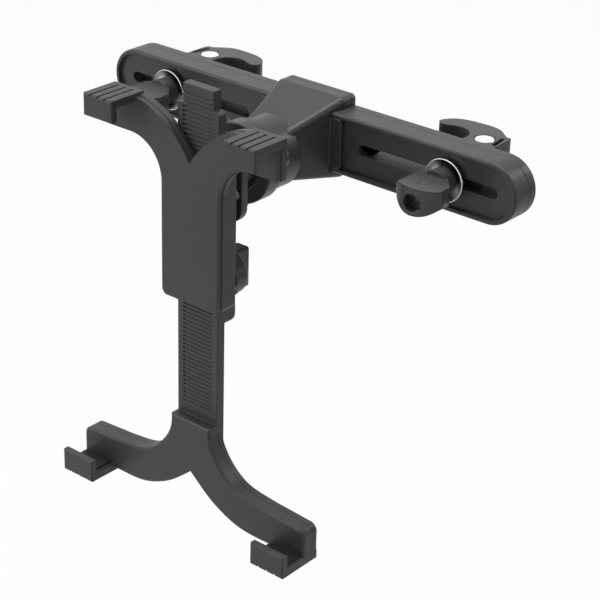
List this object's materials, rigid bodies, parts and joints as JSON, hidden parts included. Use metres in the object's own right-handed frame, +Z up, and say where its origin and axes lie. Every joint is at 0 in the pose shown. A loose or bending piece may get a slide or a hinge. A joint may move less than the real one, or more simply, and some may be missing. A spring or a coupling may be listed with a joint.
{
  "type": "headrest tablet mount",
  "caption": "Headrest tablet mount: clamps hook round the headrest posts, and a sliding claw holder swivels on a ball joint",
  "frame": {"origin": "middle of the rear face of the bar", "axes": "+X to the right along the bar, +Y back towards the headrest, +Z up"},
  "size_m": [0.245, 0.1361, 0.2149],
  "materials": {
    "charcoal_plastic": "satin moulded plastic",
    "polished_steel": "polished",
    "bright_steel": "bright turned",
    "screw_steel": "zinc plated",
    "rubber_pad": "matte rubber",
    "white_acetal": "smooth moulded plastic"
  },
  "bodies": {
    "bar": {"bar_front_shell": "charcoal_plastic", "bar_rear_cover": "charcoal_plastic", "bar_screws": "screw_steel", "bracket_housing": "charcoal_plastic", "bracket_rear_cover": "charcoal_plastic", "bracket_screws": "screw_steel"},
    "right_carriage": {"right_cup_washer": "polished_steel"},
    "left_carriage": {"left_cup_washer": "polished_steel"},
    "right_knob": {"right_wing_knob": "charcoal_plastic", "right_bolt": "screw_steel"},
    "left_knob": {"left_wing_knob": "charcoal_plastic", "left_bolt": "screw_steel"},
    "right_claw": {"right_hook": "charcoal_plastic", "right_barrel_nut": "bright_steel"},
    "left_claw": {"left_hook": "charcoal_plastic", "left_barrel_nut": "bright_steel"},
    "ring_nut": {"locking_nut": "charcoal_plastic"},
    "ball_seat": {"ball_liner": "white_acetal"},
    "ball": {"ball_stud": "charcoal_plastic"},
    "holder": {"back_plate": "charcoal_plastic", "back_plate_screws": "screw_steel", "holder_front_shell": "charcoal_plastic", "holder_back_cover": "charcoal_plastic", "holder_screws": "screw_steel", "button_spring": "screw_steel"},
    "slider": {"stem": "charcoal_plastic", "right_foot_pad": "rubber_pad", "left_foot_pad": "rubber_pad"},
    "lock": {"lock_knob": "charcoal_plastic"},
    "button": {"release_button": "charcoal_plastic"}
  },
  "joints": [
    {"name": "right_carriage_slide", "type": "slide", "parent": "bar", "child": "right_carriage", "axis": [1, 0, 0], "range_m": [-0.042, 0.0175]},
    {"name": "right_knob_turn", "type": "hinge", "parent": "right_carriage", "child": "right_knob", "pos_m": [0.0845, -0.03, 0], "axis": [0, 1, 0], "range_deg": [-2880, 0]},
    {"name": "right_hook_travel", "type": "slide", "parent": "right_carriage", "child": "right_claw", "axis": [0, 1, 0], "range_m": [0, 0.0064]},
    {"name": "left_carriage_slide", "type": "slide", "parent": "bar", "child": "left_carriage", "axis": [-1, 0, 0], "range_m": [-0.042, 0.0175]},
    {"name": "left_knob_turn", "type": "hinge", "parent": "left_carriage", "child": "left_knob", "pos_m": [-0.0845, -0.03, 0], "axis": [0, 1, 0], "range_deg": [-2880, 0]},
    {"name": "left_hook_travel", "type": "slide", "parent": "left_carriage", "child": "left_claw", "axis": [0, 1, 0], "range_m": [0, 0.0064]},
    {"name": "nut_turn", "type": "hinge", "parent": "bar", "child": "ring_nut", "pos_m": [0, -0.05, -0.003], "axis": [0, 1, 0], "range_deg": [-360, 0]},
    {"name": "swing_direction", "type": "hinge", "parent": "bar", "child": "ball_seat", "pos_m": [0, -0.0544, -0.003], "axis": [0, 1, 0], "range_deg": [-180, 180]},
    {"name": "ball_tilt", "type": "hinge", "parent": "ball_seat", "child": "ball", "pos_m": [0, -0.0544, -0.003], "axis": [1, 0, 0], "range_deg": [-15, 15]},
    {"name": "holder_spin", "type": "hinge", "parent": "ball", "child": "holder", "pos_m": [0, -0.0544, -0.003], "axis": [0, 1, 0], "range_deg": [-180, 180]},
    {"name": "stem_slide", "type": "slide", "parent": "holder", "child": "slider", "axis": [0, 0, 1], "range_m": [-0.04, 0.058]},
    {"name": "lock_turn", "type": "hinge", "parent": "holder", "child": "lock", "pos_m": [0.0045, -0.075, -0.052], "axis": [0, 1, 0], "range_deg": [0, 90]},
    {"name": "button_press", "type": "slide", "parent": "holder", "child": "button", "axis": [0, 0, 1], "range_m": [0, 0.002], "stiffness_N_per_m": 400, "springref_m": -0.002, "deforming": ["button_spring"]}
  ],
  "couplings": [
    {"joint": "right_knob_turn", "follows": "right_hook_travel", "rad_per_m": -7854},
    {"joint": "left_knob_turn", "follows": "left_hook_travel", "rad_per_m": -7854}
  ]
}
